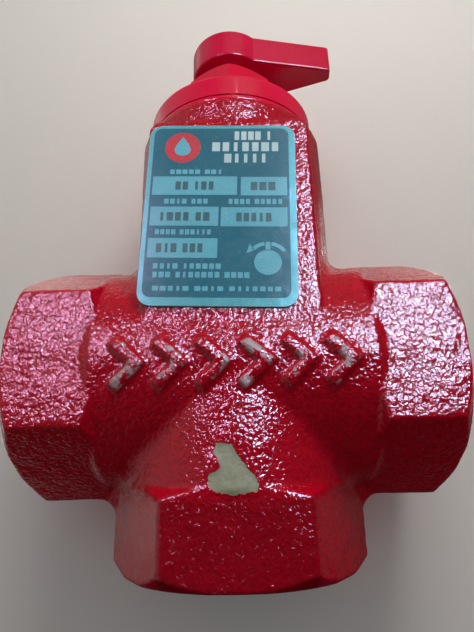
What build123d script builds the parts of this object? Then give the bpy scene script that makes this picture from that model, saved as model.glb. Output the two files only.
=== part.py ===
from build123d import *

"""A three-port flow control valve: a weighted check valve whose disc a quarter-turn lever can hold open.

Frame: millimetres, +Z up along the stem, origin where the stem axis crosses the axis of the two side ports.
The side ports open to -X (inlet) and +X (outlet), the bottom port (second inlet) opens to -Z, and the
nameplate faces -Y. The check disc rests on its seat, and the lever points to +X, its normal position.
"""

import os
from math import cos, radians, tan

# ---- body casting ------------------------------------------------------------------------------
HEX_APOTHEM = 20.65  # half of 1 5/8 in across the port hexagons
HEX_CORNER = HEX_APOTHEM / cos(radians(30))
HEX_EDGE_ROUND = 0.8
RUN_HALF = 39.7  # side port face to stem axis, 3 1/8 in face to face
BOTTOM_FACE = 36.5  # bottom port face below the run axis
SIDE_HEX_START = 25.2  # where the side hexagons begin, from the stem axis
BOTTOM_HEX_START = 23.2
END_CHAMFER = 2.3  # axial drop of the turned chamfer at a hexagon's corner
SHOULDER = 1.5  # axial length of the sloped inner end of a hexagon
BARREL_R = 21.6
BARREL_END = 24.4  # end of the barrel's straight stretch
BRANCH_R = 21.2
BRANCH_END = 22.2
STEP_R = 20.3  # foot of the sloped steps from barrel and branch down to the hexagons
SIDE_STEP = 1.9
BOTTOM_STEP = 1.0
NECK_R = 20.8
NECK_TOP = 53.6
NECK_EDGE = 1.3  # rounded edge at the neck's top
SADDLE_FILLET = 3.0
WEB_REACH = 3.6  # concave radius of the ridges between the side hexagons and the bottom one
WEB_ROOT = 11.5  # same centre, how far the ridge runs into the casting
WEB_HALF_ANGLE = 45.0
PAD_HALF_WIDTH = 15.9
PAD_FACE = 20.85  # flat that carries the nameplate, in front of the stem axis
PAD_BOTTOM = 4.0
PAD_TOP = 47.8
PAD_ROOT = 8.0  # how deep the pad runs into the neck, from the stem axis
PAD_CORNER = 2.5
PAD_EDGE = 1.0

# ---- ports and water ways ----------------------------------------------------------------------
PORT_R = 11.9  # wall of the 3/4 in tapping, at its minor diameter
PORT_DEPTH = 15.0
PORT_MOUTH_R = 13.5
WATERWAY_R = 10.5
CHAMBER_R = 15.2  # bore that holds the disc
CHAMBER_FLOOR = 4.0
WEIR_BOTTOM = -3.5  # top of the bottom water way, under the seat
INLET_ROOF = 0.4
INLET_FLOOR = -13.0
OUTLET_ROOF = 13.0
OUTLET_WALL = 14.2  # weir side of the outlet pocket, from the stem axis
PASSAGE_HALF_WIDTH = 10.5
INLET_ROUND = 4.0  # rounded corners of the cored inlet passage
GALLERY_START = 5.0
GALLERY_ROUND = 3.0

# ---- bonnet and its joint ----------------------------------------------------------------------
GASKET = 0.5
SPIGOT_R = 16.8  # thread of the bonnet in the neck
SPIGOT_BOTTOM = 43.0
SPIGOT_SEAT_GAP = 0.3
BONNET_R = 19.1
BONNET_TOP = 60.8
BONNET_EDGE = 0.9
BONNET_LOW_EDGE = 0.6
BEAD_HEIGHT = 1.15  # shallow turned line above the cap's lower edge
BEAD_WIDTH = 0.4
BEAD_DEPTH = 0.2
BONNET_CAVITY_R = 13.9
BONNET_CAVITY_TOP = 50.6
BONNET_FLOOR = 55.4
BOX_FLOOR = 58.0  # bottom of the packing box
BOX_R = 6.5
BOSS_R = 8.5
BOSS_TOP = 68.0

# ---- packing and gland -------------------------------------------------------------------------
NUT_ACROSS_FLATS = 19.05
NUT_BOTTOM = 62.3
NUT_TOP = 73.0
NUT_WALL = 2.9
PACKING_RINGS = 3
PACKING_HEIGHT = 2.0
PACKING_WASHER = 1.0
GLAND_FLANGE = 1.6
NUT_EDGE_SLOPE = 0.6  # axial drop per unit of radius on the nut's turned-back edges
NUT_EDGE_INSET = 0.2

# ---- stem, lever and lifter --------------------------------------------------------------------
STEM_R = 4.0
STEM_BOTTOM = 34.2
COLLAR_R = 6.3
COLLAR_BOTTOM = 51.9
COLLAR_TOP = 54.7
DRIVE_HALF = 2.9  # half across the squared drive at the stem's top
DRIVE_BOTTOM = 76.4
DRIVE_TOP = 79.4
LEVER_BOTTOM = 76.4
LEVER_TOP = 84.0
LEVER_HUB_R = 9.4
LEVER_REACH = 25.5
LEVER_ROOT_HALF = 8.5  # half width of the arm's outline if it ran on to the hub's centre
LEVER_SET = -4.0  # degrees by which the arm sits off +X, towards the nameplate
LEVER_TIP_HALF = 1.7
LEVER_TIP_ROUND = 1.0
LEVER_EDGE = 0.5
SCREW_R = 2.0
SCREW_HEAD_R = 3.6
SCREW_POCKET_R = 4.7
SCREW_WEB_BOTTOM = 79.8
SCREW_POCKET_FLOOR = 80.8
SCREW_BOTTOM = 72.0
SCREW_SET_DOWN = 0.3  # top of the screw's head below the lever's top
SCREW_SLOT_WIDTH = 0.9
SCREW_SLOT_DEPTH = 1.0
SCREW_SLOT_ANGLE = 35.0
LOCK_WASHER = 0.6
LOCK_WASHER_GAP = 0.7
LOCK_WASHER_ANGLE = 200.0  # direction of the gap in the split washer
PIN_R = 1.25
PIN_HALF = 7.3
PIN_HEIGHT = 37.5
LEVER_TURN = 90.0  # degrees from normal to held open
LIFT = 5.0  # rise of the lifter over that turn
SLOT_OVERRUN = 10.0  # degrees of slot past the cross pin's end positions
SLOT_HALF = 1.72  # half height of the helical slot, measured along the stem
SLOT_INNER = 2.0  # the slot is cut from this distance from the stem axis outwards
SLOT_OUTER = 10.0
LIFTER_R = 7.45
LIFTER_BOTTOM = 26.0
LIFTER_TOP = 43.8
LIFTER_FLOOR = 28.5
ROD_R = 2.5
ROD_BOTTOM = 10.6
SLEEVE_R = 9.5
SLEEVE_BOTTOM = 30.0
KEY_R = 1.2
KEY_ANGLE = 135.0  # direction of the guide key, clear of both helical slots
KEY_HEIGHT = 35.0
KEY_REACH = 1.1  # how far the key stands into the lifter's groove
GROOVE_DEPTH = 1.3

# ---- check disc --------------------------------------------------------------------------------
SEAT_FACE = 5.5
SEAT_BORE_R = 9.0
SEAT_LIP_R = 11.0
SEAT_FLANGE_R = 13.2
SEAT_BODY_R = 11.6
SEAT_FLANGE = 0.9  # thickness of the flange that rests on the weir
SEAT_LUG_WIDTH = 2.4  # lugs in the bore, for the tool that screws the ring in
SEAT_LUG_REACH = 0.7
SEAT_LUG_TOP = -1.0
FACING = 2.0
FACING_R = 12.6
DISC_R = 13.2
DISC_TOP = 38.0
DISC_FLOOR = 17.5
DISC_WEB = 15.0
NOSE_R = 8.6
NOSE_SPIGOT_R = 7.0
NOSE_CAVITY_R = 5.4
NOSE_BOTTOM = 0.0
NOSE_BEVEL = 3.2
NOSE_FLOOR = 2.4  # thickness of the nose's closed end
NOSE_SOCKET = 4.6  # depth of the disc's socket for the nose
ROD_NUT_APOTHEM = 4.0
ROD_NUT_HEIGHT = 2.4

# ---- nameplate and casting marks ---------------------------------------------------------------
PLATE_WIDTH = 28.3
PLATE_HEIGHT = 37.8
PLATE_CENTRE_X = -1.9
PLATE_CENTRE_Z = 26.8
PLATE_TILT = 2.2  # degrees clockwise, as stuck on
PLATE_THICKNESS = 0.4
PLATE_CORNER = 2.6
MARK_COUNT = 6
MARK_PITCH = 7.2
MARK_WIDTH = 4.0
MARK_HEIGHT = 7.8
MARK_STROKE = 1.9
MARK_CENTRE_Z = -1.9
MARK_RAISE = 0.8
MARK_ROOT = 2.5  # how deep the marks run into the casting

# ---- fits --------------------------------------------------------------------------------------
STATIC_FIT = 0.03  # radial gap between pieces that don't move on each other
RUNNING_FIT = 0.05
GUIDE_FIT = 0.08
TOUCH = 0.02  # axial gap between faces that touch
BREAK = 0.5  # broken edge on turned pieces
CLEAR = 1.0  # how far a cutting solid runs past the face that it cuts


def rod(radius, low, high):
    """A cylinder on the stem axis between two heights."""
    return Pos(0, 0, (low + high) / 2) * Cylinder(radius, high - low)


def ring(outer, inner, low, high):
    return rod(outer, low, high) - rod(inner, low - 1, high + 1)


def turned(points):
    """A solid of revolution about the stem axis from (radius, height) points."""
    outline = Polyline(*[(r, 0, z) for r, z in points], close=True)
    return revolve(make_face(outline), Axis.Z)


def along_x(solid, side):
    """Lays a solid that was made along +Z on the run axis, pointing to +X or -X."""
    return Rot(0, 90 * side, 0) * solid


def block(x0, x1, y0, y1, z0, z1):
    return Pos((x0 + x1) / 2, (y0 + y1) / 2, (z0 + z1) / 2) * Box(x1 - x0, y1 - y0, z1 - z0)


# ---- body --------------------------------------------------------------------------------------
def hex_hub(start, face):
    """A cast hexagon along +Z with two flats on +-Y, chamfered at its face and sloped at its start."""
    prism = extrude(RegularPolygon(HEX_APOTHEM, 6, major_radius=False), face - start + SHOULDER)
    prism = Pos(0, 0, start - SHOULDER) * prism
    prism = fillet(prism.edges().filter_by(Axis.Z), HEX_EDGE_ROUND)
    reach = HEX_CORNER + TOUCH
    slope = END_CHAMFER / (HEX_CORNER - HEX_APOTHEM)
    inner_slope = SHOULDER / (HEX_CORNER - BRANCH_R)
    envelope = turned(
        [
            (0, start - SHOULDER),
            (BRANCH_R, start - SHOULDER),
            (reach, start - SHOULDER + inner_slope * (reach - BRANCH_R)),
            (reach, face - slope * (reach - HEX_APOTHEM)),
            (HEX_APOTHEM, face),
            (0, face),
        ]
    )
    return prism & envelope


def sloped_step(radius, start, length):
    """Cone along +Z from the end of a round stretch down to the flats of its hexagon."""
    end = start + length
    return turned([(0, start - 1), (radius, start - 1), (radius, start), (STEP_R, end), (0, end)])


def casting_core():
    """Run barrel, bottom branch and neck with the cast saddle fillets between them."""
    barrel = along_x(rod(BARREL_R, -BARREL_END, BARREL_END), 1)
    neck = rod(NECK_R, 0, NECK_TOP)
    neck = fillet(neck.edges().group_by(Axis.Z)[-1], NECK_EDGE)
    branch = rod(BRANCH_R, -BOTTOM_FACE, 0)
    core = barrel + neck + branch
    saddles = [e for e in core.edges().filter_by(GeomType.BSPLINE) if e.length > SADDLE_FILLET]
    core = fillet(saddles, SADDLE_FILLET)
    wide = 2 * BRANCH_R
    core -= block(-wide, wide, -wide, wide, -BOTTOM_FACE - CLEAR, -BRANCH_END)
    core += along_x(sloped_step(BARREL_R, BARREL_END, SIDE_STEP), 1)
    core += along_x(sloped_step(BARREL_R, BARREL_END, SIDE_STEP), -1)
    return core + Rot(180, 0, 0) * sloped_step(BRANCH_R, BRANCH_END, BOTTOM_STEP)


def corner_web(side):
    """Cast ridge that turns from a side hexagon's lowest edge into the bottom hexagon's nearest edge."""
    spread = (WEB_ROOT - WEB_REACH) * tan(radians(WEB_HALF_ANGLE))
    wedge = Polygon((WEB_REACH, 0), (WEB_ROOT, spread), (WEB_ROOT, -spread), align=None)
    wedge = fillet(wedge.vertices().group_by(Axis.X)[0], HEX_EDGE_ROUND)
    bend = Rot(0, 180, 0) * revolve(wedge, Axis.Y, revolution_arc=90)
    corner = HEX_CORNER + WEB_REACH
    web = Pos(corner, 0, -corner) * bend
    return web if side > 0 else mirror(web, Plane.YZ)


def label_pad():
    pad = block(-PAD_HALF_WIDTH, PAD_HALF_WIDTH, -PAD_FACE, -PAD_ROOT, PAD_BOTTOM, PAD_TOP)
    corners = [e for e in pad.edges().filter_by(Axis.Y) if e.center().Z > PAD_BOTTOM + CLEAR]
    pad = fillet(corners, PAD_CORNER)
    rim = [e for e in pad.faces().sort_by(Axis.Y)[0].edges() if e.center().Z > PAD_BOTTOM + CLEAR]
    return fillet(rim, PAD_EDGE)


def chevron(x):
    """One arm-shaped casting mark pointing to the outlet, as a prism that crosses the barrel's front."""
    half_w, half_h = MARK_WIDTH / 2, MARK_HEIGHT / 2
    path = Polyline((-half_w, half_h), (half_w, 0), (-half_w, -half_h))
    stroke = trace(path, MARK_STROKE)
    prism = extrude(Plane.XZ * stroke, BARREL_R + MARK_RAISE + CLEAR)
    return Pos(x, 0, MARK_CENTRE_Z) * prism


def casting_marks():
    first = -MARK_PITCH * (MARK_COUNT - 1) / 2
    marks = Part() + [chevron(first + i * MARK_PITCH) for i in range(MARK_COUNT)]
    shell = along_x(Cylinder(BARREL_R + MARK_RAISE, 2 * SIDE_HEX_START), 1)
    shell += rod(BRANCH_R + MARK_RAISE, -BOTTOM_HEX_START, 0)
    shell -= along_x(Cylinder(BARREL_R - MARK_ROOT, 2 * SIDE_HEX_START + CLEAR), 1)
    return marks & shell


def tapped_port(face):
    """The cut for one port along +Z: mouth chamfer, tapping and the water way's mouth."""
    mouth = PORT_MOUTH_R - PORT_R
    return turned(
        [
            (0, face + CLEAR),
            (PORT_MOUTH_R + CLEAR, face + CLEAR),
            (PORT_MOUTH_R, face),
            (PORT_R, face - mouth),
            (PORT_R, face - PORT_DEPTH),
            (WATERWAY_R, face - PORT_DEPTH - CLEAR),
            (0, face - PORT_DEPTH - CLEAR),
        ]
    )


def water_ways():
    """Everything cut from the casting: inlets that meet under the seat, and the outlet above it."""
    w = PASSAGE_HALF_WIDTH
    port_end = RUN_HALF - PORT_DEPTH
    inlet = block(-port_end - 2 * CLEAR, 2 * CLEAR, -w, w, INLET_FLOOR, INLET_ROOF)
    inlet = fillet(inlet.edges().filter_by(Axis.X), INLET_ROUND)
    inlet &= along_x(Cylinder(PORT_MOUTH_R, 2 * RUN_HALF), 1)
    bottom = rod(WATERWAY_R, -BOTTOM_FACE + PORT_DEPTH - 2 * CLEAR, WEIR_BOTTOM + CLEAR)
    seat_hole = rod(SEAT_BODY_R + STATIC_FIT, WEIR_BOTTOM, CHAMBER_FLOOR + CLEAR)
    outlet = along_x(rod(WATERWAY_R, OUTLET_WALL, port_end + 2 * CLEAR), 1)
    gallery = block(GALLERY_START, port_end, -w, w, CHAMBER_FLOOR, OUTLET_ROOF)
    gallery = fillet(gallery.edges().filter_by(Axis.X), GALLERY_ROUND)
    chamber = rod(CHAMBER_R, CHAMBER_FLOOR, SPIGOT_BOTTOM)
    socket = rod(SPIGOT_R + STATIC_FIT, SPIGOT_BOTTOM - SPIGOT_SEAT_GAP, NECK_TOP + CLEAR)
    cuts = inlet + bottom + seat_hole + outlet + gallery + chamber + socket
    cuts += along_x(tapped_port(RUN_HALF), 1)
    cuts += along_x(tapped_port(RUN_HALF), -1)
    cuts += Rot(180, 0, 0) * tapped_port(BOTTOM_FACE)
    return cuts


def body_casting():
    body = casting_core()
    body += along_x(hex_hub(SIDE_HEX_START, RUN_HALF), 1)
    body += along_x(hex_hub(SIDE_HEX_START, RUN_HALF), -1)
    body += Rot(180, 0, 0) * hex_hub(BOTTOM_HEX_START, BOTTOM_FACE)
    body += corner_web(1)
    body += corner_web(-1)
    body += label_pad()
    body += casting_marks()
    return body - water_ways()


# ---- fixed pieces inside and on the casting ----------------------------------------------------
def seat_ring():
    low = WEIR_BOTTOM + 0.2
    base = CHAMBER_FLOOR + TOUCH
    flange = base + SEAT_FLANGE
    seat = turned(
        [
            (SEAT_BORE_R, low),
            (SEAT_BODY_R - BREAK, low),
            (SEAT_BODY_R, low + BREAK),
            (SEAT_BODY_R, base),
            (SEAT_FLANGE_R, base),
            (SEAT_FLANGE_R, flange),
            (SEAT_LIP_R + BREAK, flange),
            (SEAT_LIP_R, SEAT_FACE),
            (SEAT_BORE_R, SEAT_FACE),
        ]
    )
    half = SEAT_LUG_WIDTH / 2
    lugs = block(-SEAT_BORE_R, SEAT_BORE_R, -half, half, low, SEAT_LUG_TOP)
    return seat + (lugs & ring(SEAT_BORE_R + BREAK, SEAT_BORE_R - SEAT_LUG_REACH, low, SEAT_LUG_TOP))


def bonnet_gasket():
    return ring(BONNET_R - BREAK, SPIGOT_R + STATIC_FIT, NECK_TOP + TOUCH, NECK_TOP + GASKET - TOUCH)


def bonnet():
    """Round screwed cap with the packing box on top and the socket of the guide sleeve underneath."""
    bore = STEM_R + RUNNING_FIT
    flange = NECK_TOP + GASKET
    cap = turned(
        [
            (bore, BONNET_FLOOR),
            (SLEEVE_R + STATIC_FIT, BONNET_FLOOR),
            (SLEEVE_R + STATIC_FIT, BONNET_CAVITY_TOP),
            (BONNET_CAVITY_R, BONNET_CAVITY_TOP),
            (BONNET_CAVITY_R, SPIGOT_BOTTOM),
            (SPIGOT_R - BREAK, SPIGOT_BOTTOM),
            (SPIGOT_R, SPIGOT_BOTTOM + BREAK),
            (SPIGOT_R, flange),
            (BONNET_R, flange),
            (BONNET_R, BONNET_TOP),
            (BOSS_R + 2 * BREAK, BONNET_TOP),
            (BOSS_R, BONNET_TOP + 2 * BREAK),
            (BOSS_R, BOSS_TOP - BREAK),
            (BOSS_R - BREAK, BOSS_TOP),
            (BOX_R, BOSS_TOP),
            (BOX_R, BOX_FLOOR),
            (bore, BOX_FLOOR),
        ]
    )
    rim = [e for e in cap.edges().filter_by(GeomType.CIRCLE) if abs(e.radius - BONNET_R) < 0.01]
    cap = fillet([e for e in rim if e.center().Z > BONNET_TOP - 1], BONNET_EDGE)
    low_rim = [e for e in cap.edges().filter_by(GeomType.CIRCLE) if abs(e.radius - BONNET_R) < 0.01]
    cap = fillet([e for e in low_rim if e.center().Z < flange + 1], BONNET_LOW_EDGE)
    groove = flange + BEAD_HEIGHT
    return cap - ring(BONNET_R + CLEAR, BONNET_R - BEAD_DEPTH, groove, groove + BEAD_WIDTH)


def guide_sleeve():
    sleeve = ring(SLEEVE_R, LIFTER_R + RUNNING_FIT, SLEEVE_BOTTOM, BONNET_FLOOR - TOUCH)
    return sleeve - radial_pin(KEY_R + TOUCH, STEM_R, SLEEVE_R + CLEAR, KEY_ANGLE, KEY_HEIGHT)


def radial_pin(radius, inner, outer, angle, height):
    """A round pin that points away from the stem axis."""
    pin = Pos((inner + outer) / 2, 0, height) * Rot(0, 90, 0) * Cylinder(radius, outer - inner)
    return Rot(0, 0, angle) * pin


def guide_key():
    return radial_pin(KEY_R, LIFTER_R - KEY_REACH, SLEEVE_R - TOUCH, KEY_ANGLE, KEY_HEIGHT)


def thrust_washer():
    return ring(COLLAR_R, STEM_R + RUNNING_FIT, COLLAR_TOP + TOUCH, BONNET_FLOOR - TOUCH)


def packing_washer():
    top = BOX_FLOOR + PACKING_WASHER - TOUCH
    return ring(BOX_R - STATIC_FIT, STEM_R + RUNNING_FIT, BOX_FLOOR + TOUCH, top)


def packing_ring(index):
    low = BOX_FLOOR + PACKING_WASHER + index * PACKING_HEIGHT
    packing = ring(BOX_R - STATIC_FIT, STEM_R + RUNNING_FIT, low + TOUCH, low + PACKING_HEIGHT - TOUCH)
    return chamfer(packing.edges().filter_by(GeomType.CIRCLE), BREAK / 2)


def packing_gland():
    """Follower: a spigot that presses on the packing and a flange under the nut's roof."""
    bottom = BOX_FLOOR + PACKING_WASHER + PACKING_RINGS * PACKING_HEIGHT + TOUCH
    roof = NUT_TOP - NUT_WALL - TOUCH
    bore = STEM_R + RUNNING_FIT
    return turned(
        [
            (bore, bottom),
            (BOX_R - STATIC_FIT, bottom),
            (BOX_R - STATIC_FIT, roof - GLAND_FLANGE),
            (BOSS_R - BREAK, roof - GLAND_FLANGE),
            (BOSS_R - BREAK, roof),
            (bore, roof),
        ]
    )


def packing_nut():
    """Hexagon nut with a corner towards -Y and its edges turned back at both ends."""
    apothem = NUT_ACROSS_FLATS / 2
    corner = apothem / cos(radians(30))
    prism = extrude(RegularPolygon(apothem, 6, major_radius=False), NUT_TOP - NUT_BOTTOM)
    prism = Pos(0, 0, NUT_BOTTOM) * Rot(0, 0, 30) * prism
    edge = apothem - NUT_EDGE_INSET
    drop = (corner - edge) * NUT_EDGE_SLOPE
    turned_back = turned(
        [
            (0, NUT_BOTTOM),
            (edge, NUT_BOTTOM),
            (corner, NUT_BOTTOM + drop),
            (corner, NUT_TOP - drop),
            (edge, NUT_TOP),
            (0, NUT_TOP),
        ]
    )
    nut = prism & turned_back
    nut -= rod(BOSS_R + STATIC_FIT, NUT_BOTTOM - CLEAR, NUT_TOP - NUT_WALL)
    return nut - rod(STEM_R + BREAK / 2, NUT_BOTTOM, NUT_TOP + CLEAR)


def nameplate():
    """Adhesive foil plate on the front pad, a little askew."""
    foil = extrude(RectangleRounded(PLATE_WIDTH, PLATE_HEIGHT, PLATE_CORNER), PLATE_THICKNESS)
    upright = Rot(90, 0, 0) * foil
    place = Pos(PLATE_CENTRE_X, -PAD_FACE - TOUCH, PLATE_CENTRE_Z)
    return place * Rot(0, PLATE_TILT, 0) * upright


# ---- lever group -------------------------------------------------------------------------------
def stem():
    shaft = turned(
        [
            (0, STEM_BOTTOM),
            (STEM_R - BREAK, STEM_BOTTOM),
            (STEM_R, STEM_BOTTOM + BREAK),
            (STEM_R, COLLAR_BOTTOM),
            (COLLAR_R, COLLAR_BOTTOM),
            (COLLAR_R, COLLAR_TOP),
            (STEM_R, COLLAR_TOP),
            (STEM_R, DRIVE_BOTTOM - TOUCH),
            (0, DRIVE_BOTTOM - TOUCH),
        ]
    )
    square = block(-DRIVE_HALF, DRIVE_HALF, -DRIVE_HALF, DRIVE_HALF, DRIVE_BOTTOM - CLEAR, DRIVE_TOP)
    shaft += square & rod(STEM_R, DRIVE_BOTTOM - CLEAR, DRIVE_TOP)
    shaft -= rod(SCREW_R + STATIC_FIT, SCREW_BOTTOM - BREAK, DRIVE_TOP + CLEAR)
    return shaft - cross_bar(PIN_R + TOUCH, STEM_R + CLEAR)


def cross_bar(radius, half_length):
    return Pos(0, 0, PIN_HEIGHT) * Rot(0, 90, 0) * Cylinder(radius, 2 * half_length)


def cross_pin():
    pin = cross_bar(PIN_R, PIN_HALF)
    return chamfer(pin.edges().filter_by(GeomType.CIRCLE), BREAK / 2)


def lever():
    """Flat tapered arm on a round hub, with the stem's square hole and a recess for its screw."""
    arm = Polygon(
        (0, -LEVER_ROOT_HALF),
        (LEVER_REACH, -LEVER_TIP_HALF),
        (LEVER_REACH, LEVER_TIP_HALF),
        (0, LEVER_ROOT_HALF),
        align=None,
    )
    arm = Rot(0, 0, LEVER_SET) * fillet(arm.vertices().group_by(Axis.X)[-1], LEVER_TIP_ROUND)
    outline = Circle(LEVER_HUB_R) + arm
    body = Pos(0, 0, LEVER_BOTTOM) * extrude(outline, LEVER_TOP - LEVER_BOTTOM)
    faces = body.faces().sort_by(Axis.Z)
    body = fillet(faces[0].edges() + faces[-1].edges(), LEVER_EDGE)
    hole = DRIVE_HALF + STATIC_FIT
    body -= block(-hole, hole, -hole, hole, LEVER_BOTTOM - CLEAR, SCREW_WEB_BOTTOM)
    body -= rod(SCREW_R + BREAK / 2, LEVER_BOTTOM, LEVER_TOP)
    return body - rod(SCREW_POCKET_R, SCREW_POCKET_FLOOR, LEVER_TOP + CLEAR)


def lock_washer():
    """Split spring washer under the screw's head."""
    low = SCREW_POCKET_FLOOR + TOUCH
    washer = ring(SCREW_HEAD_R + BREAK / 2, SCREW_R + STATIC_FIT, low, low + LOCK_WASHER)
    half = LOCK_WASHER_GAP / 2
    gap = block(0, SCREW_POCKET_R, -half, half, low - CLEAR, low + LOCK_WASHER + CLEAR)
    return washer - Rot(0, 0, LOCK_WASHER_ANGLE) * gap


def lever_screw():
    """Pan-head screw with a slot."""
    seat = SCREW_POCKET_FLOOR + LOCK_WASHER + 2 * TOUCH
    top = LEVER_TOP - SCREW_SET_DOWN
    screw = rod(SCREW_R, SCREW_BOTTOM, seat + BREAK) + rod(SCREW_HEAD_R, seat, top)
    screw = fillet(screw.edges().group_by(Axis.Z)[-1], BREAK)
    reach = SCREW_HEAD_R + CLEAR
    half = SCREW_SLOT_WIDTH / 2
    slot = block(-reach, reach, -half, half, top - SCREW_SLOT_DEPTH, top + CLEAR)
    return screw - Rot(0, 0, SCREW_SLOT_ANGLE) * slot


# ---- lifter group ------------------------------------------------------------------------------
def helical_slot():
    """The slot that turns a quarter turn of the cross pin into the lifter's rise."""
    pitch = 360 / LEVER_TURN * LIFT
    extra = SLOT_OVERRUN / 360 * pitch
    path = Helix(pitch, LIFT + 2 * extra, STEM_R, lefthand=True)
    middle = (SLOT_INNER + SLOT_OUTER) / 2
    section = Plane.XZ * Pos(middle, 0) * Rectangle(SLOT_OUTER - SLOT_INNER, 2 * SLOT_HALF)
    band = sweep(section, path=path, is_frenet=True)
    band = Pos(0, 0, PIN_HEIGHT - LIFT - extra) * Rot(0, 0, LEVER_TURN + SLOT_OVERRUN) * band
    high_end = radial_pin(SLOT_HALF, SLOT_INNER, SLOT_OUTER, -SLOT_OVERRUN, PIN_HEIGHT + extra)
    low_angle = LEVER_TURN + SLOT_OVERRUN
    low_end = radial_pin(SLOT_HALF, SLOT_INNER, SLOT_OUTER, low_angle, PIN_HEIGHT - LIFT - extra)
    return band + high_end + low_end


def lifter():
    """Keyed sleeve that the cross pin screws up and down, with the rod that picks the disc up."""
    body = turned(
        [
            (0, ROD_BOTTOM),
            (ROD_R - BREAK, ROD_BOTTOM),
            (ROD_R, ROD_BOTTOM + BREAK),
            (ROD_R, LIFTER_BOTTOM),
            (LIFTER_R - BREAK, LIFTER_BOTTOM),
            (LIFTER_R, LIFTER_BOTTOM + BREAK),
            (LIFTER_R, LIFTER_TOP),
            (STEM_R + RUNNING_FIT, LIFTER_TOP),
            (STEM_R + RUNNING_FIT, LIFTER_FLOOR),
            (0, LIFTER_FLOOR),
        ]
    )
    slot = helical_slot()
    body -= slot
    body -= Rot(0, 0, 180) * slot
    half = KEY_R + RUNNING_FIT
    low = KEY_HEIGHT - LIFT - KEY_R - BREAK
    groove = block(LIFTER_R - GROOVE_DEPTH, LIFTER_R + CLEAR, -half, half, low, LIFTER_TOP + CLEAR)
    return body - Rot(0, 0, KEY_ANGLE) * groove


def lifter_nut():
    """Hexagon nut at the rod's end, under the disc's web."""
    top = DISC_WEB - TOUCH
    bottom = top - ROD_NUT_HEIGHT
    nut = extrude(RegularPolygon(ROD_NUT_APOTHEM, 6, major_radius=False), ROD_NUT_HEIGHT)
    return Pos(0, 0, bottom) * nut - rod(ROD_R + STATIC_FIT, bottom - CLEAR, top + CLEAR)


# ---- disc group --------------------------------------------------------------------------------
def check_disc():
    """Weighted disc: a deep cup that slides on the guide sleeve."""
    bottom = SEAT_FACE + FACING
    socket_top = bottom + NOSE_SOCKET
    bore = SLEEVE_R + GUIDE_FIT
    return turned(
        [
            (NOSE_SPIGOT_R + STATIC_FIT, bottom),
            (DISC_R - BREAK, bottom),
            (DISC_R, bottom + BREAK),
            (DISC_R, DISC_TOP - BREAK),
            (DISC_R - BREAK, DISC_TOP),
            (bore, DISC_TOP),
            (bore, DISC_FLOOR),
            (ROD_R + RUNNING_FIT, DISC_FLOOR),
            (ROD_R + RUNNING_FIT, DISC_WEB),
            (NOSE_CAVITY_R, DISC_WEB),
            (NOSE_CAVITY_R, socket_top),
            (NOSE_SPIGOT_R + STATIC_FIT, socket_top),
        ]
    )


def disc_facing():
    return ring(FACING_R, NOSE_SPIGOT_R + STATIC_FIT, SEAT_FACE + TOUCH, SEAT_FACE + FACING - TOUCH)


def disc_nose():
    """Screwed cup that clamps the facing and hangs through the seat."""
    top = SEAT_FACE + FACING + NOSE_SOCKET - 0.1
    return turned(
        [
            (0, NOSE_BOTTOM),
            (NOSE_R - NOSE_BEVEL, NOSE_BOTTOM),
            (NOSE_R, NOSE_BOTTOM + NOSE_BEVEL),
            (NOSE_R, SEAT_FACE),
            (NOSE_SPIGOT_R, SEAT_FACE),
            (NOSE_SPIGOT_R, top),
            (NOSE_CAVITY_R, top),
            (NOSE_CAVITY_R, NOSE_BOTTOM + NOSE_FLOOR),
            (0, NOSE_BOTTOM + NOSE_FLOOR),
        ]
    )


# ---- sub-parts ---------------------------------------------------------------------------------
PIECES = {
    "body_casting": body_casting,
    "seat_ring": seat_ring,
    "bonnet_gasket": bonnet_gasket,
    "bonnet": bonnet,
    "guide_sleeve": guide_sleeve,
    "guide_key": guide_key,
    "thrust_washer": thrust_washer,
    "packing_washer": packing_washer,
    "packing_gland": packing_gland,
    "packing_nut": packing_nut,
    "nameplate": nameplate,
    "stem": stem,
    "cross_pin": cross_pin,
    "lever": lever,
    "lock_washer": lock_washer,
    "lever_screw": lever_screw,
    "lifter": lifter,
    "lifter_nut": lifter_nut,
    "check_disc": check_disc,
    "disc_facing": disc_facing,
    "disc_nose": disc_nose,
}


def write_parts():
    os.makedirs("parts", exist_ok=True)
    for name, build in PIECES.items():
        export_step(build(), f"parts/{name}.step")
    for index in range(PACKING_RINGS):
        export_step(packing_ring(index), f"parts/packing_ring_{index + 1}.step")


write_parts()
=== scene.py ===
import math

import bpy
import numpy as np
from mathutils import Matrix, Vector, noise


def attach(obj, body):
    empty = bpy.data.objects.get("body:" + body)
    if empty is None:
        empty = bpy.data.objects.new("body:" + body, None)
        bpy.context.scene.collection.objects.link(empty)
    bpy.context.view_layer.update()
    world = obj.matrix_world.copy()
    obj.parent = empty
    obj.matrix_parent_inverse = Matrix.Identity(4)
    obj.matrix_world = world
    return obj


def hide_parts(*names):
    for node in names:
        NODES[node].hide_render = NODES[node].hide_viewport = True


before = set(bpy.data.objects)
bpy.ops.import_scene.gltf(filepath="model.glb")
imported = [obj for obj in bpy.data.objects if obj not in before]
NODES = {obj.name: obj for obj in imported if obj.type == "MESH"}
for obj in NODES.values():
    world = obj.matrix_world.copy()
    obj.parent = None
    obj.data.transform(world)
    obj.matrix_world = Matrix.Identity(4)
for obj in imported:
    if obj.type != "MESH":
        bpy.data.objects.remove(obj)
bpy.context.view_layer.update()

# Looks of the flow control valve. Lengths are in millimetres. Lights and Blender's own data are in metres.
MM = 0.001

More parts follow.
